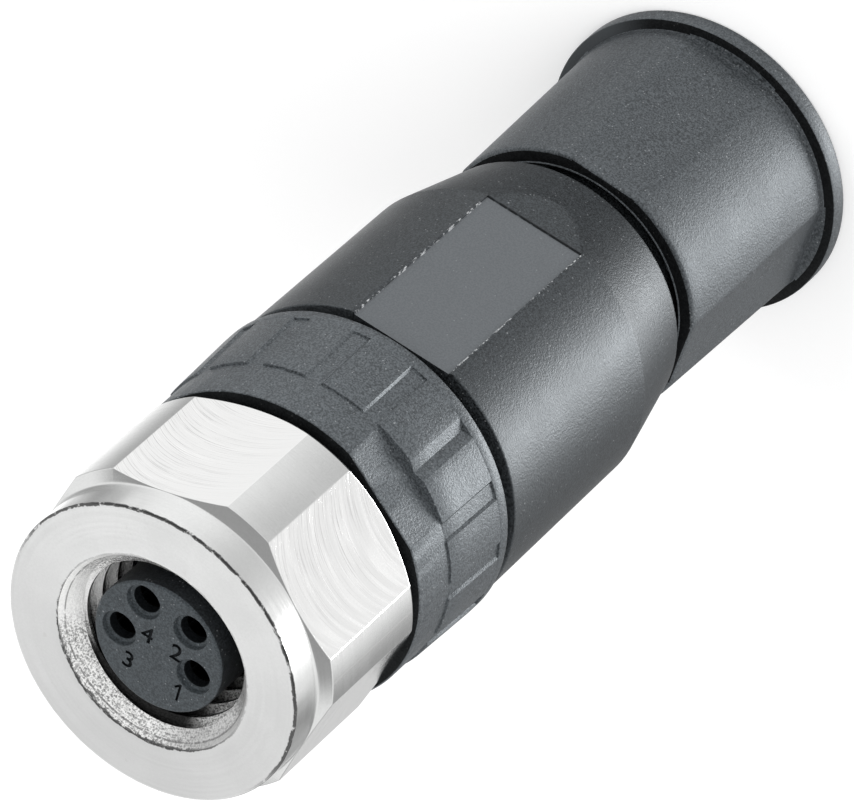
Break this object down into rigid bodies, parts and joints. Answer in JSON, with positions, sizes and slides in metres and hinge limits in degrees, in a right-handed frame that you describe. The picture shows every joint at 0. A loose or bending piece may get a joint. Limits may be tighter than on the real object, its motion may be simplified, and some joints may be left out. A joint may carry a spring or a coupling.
{
  "type": "circular sensor power connector",
  "caption": "Straight screw-terminal cable socket for sensors: turned hex coupling nut over a round pin socket insert, panelled grip ring, drafted housing with a label facet, flanged clamp nut.",
  "frame": {"origin": "centre of the back face of the clamp nut's flange, on the common axis", "axes": "+Z along the common axis from the cable end to the socket, -Y towards the housing's label facet, which pins 2 and 4 are next to"},
  "size_m": [0.0138, 0.0138, 0.0392],
  "materials": {
    "nickel_plate": "nickel-plated brass, satin turned, milled flats",
    "grey_plastic": "dark grey moulded, fine grain",
    "spring_steel": "hardened spring wire",
    "black_rubber": "matt",
    "gold_plated_brass": "gold-plated, bright",
    "plated_steel": "zinc-plated",
    "inner_plastic": "moulded",
    "black_plastic": "glass-filled, satin with fine speckle"
  },
  "bodies": {
    "connector": {"contact_insert": "grey_plastic", "snap_ring": "spring_steel", "face_seal": "black_rubber", "contact_1": "gold_plated_brass", "contact_2": "gold_plated_brass", "contact_3": "gold_plated_brass", "contact_4": "gold_plated_brass", "terminal_screw_1": "plated_steel", "terminal_screw_2": "plated_steel", "terminal_screw_3": "plated_steel", "terminal_screw_4": "plated_steel", "terminal_carrier": "inner_plastic", "grip_ring": "black_plastic", "joint_seal": "black_rubber", "housing": "black_plastic", "cable_seal": "black_rubber"},
    "nut": {"coupling_nut": "nickel_plate"},
    "clamp": {"thrust_ring": "inner_plastic", "clamp_cage": "inner_plastic"},
    "cap": {"clamp_nut": "black_plastic"}
  },
  "joints": [
    {"name": "nut_spin", "type": "hinge", "parent": "connector", "child": "nut", "pos_m": [0, 0, 0.0322], "axis": [0, 0, 1], "continuous": true},
    {"name": "clamp_travel", "type": "slide", "parent": "connector", "child": "clamp", "axis": [0, 0, 1], "range_m": [-0.0015, 0.001]},
    {"name": "cap_screw", "type": "hinge", "parent": "clamp", "child": "cap", "pos_m": [0, 0, 0.005], "axis": [0, 0, 1], "range_deg": [-540, 360]}
  ],
  "couplings": [
    {"joint": "cap_screw", "follows": "clamp_travel", "rad_per_m": 6283.2}
  ]
}
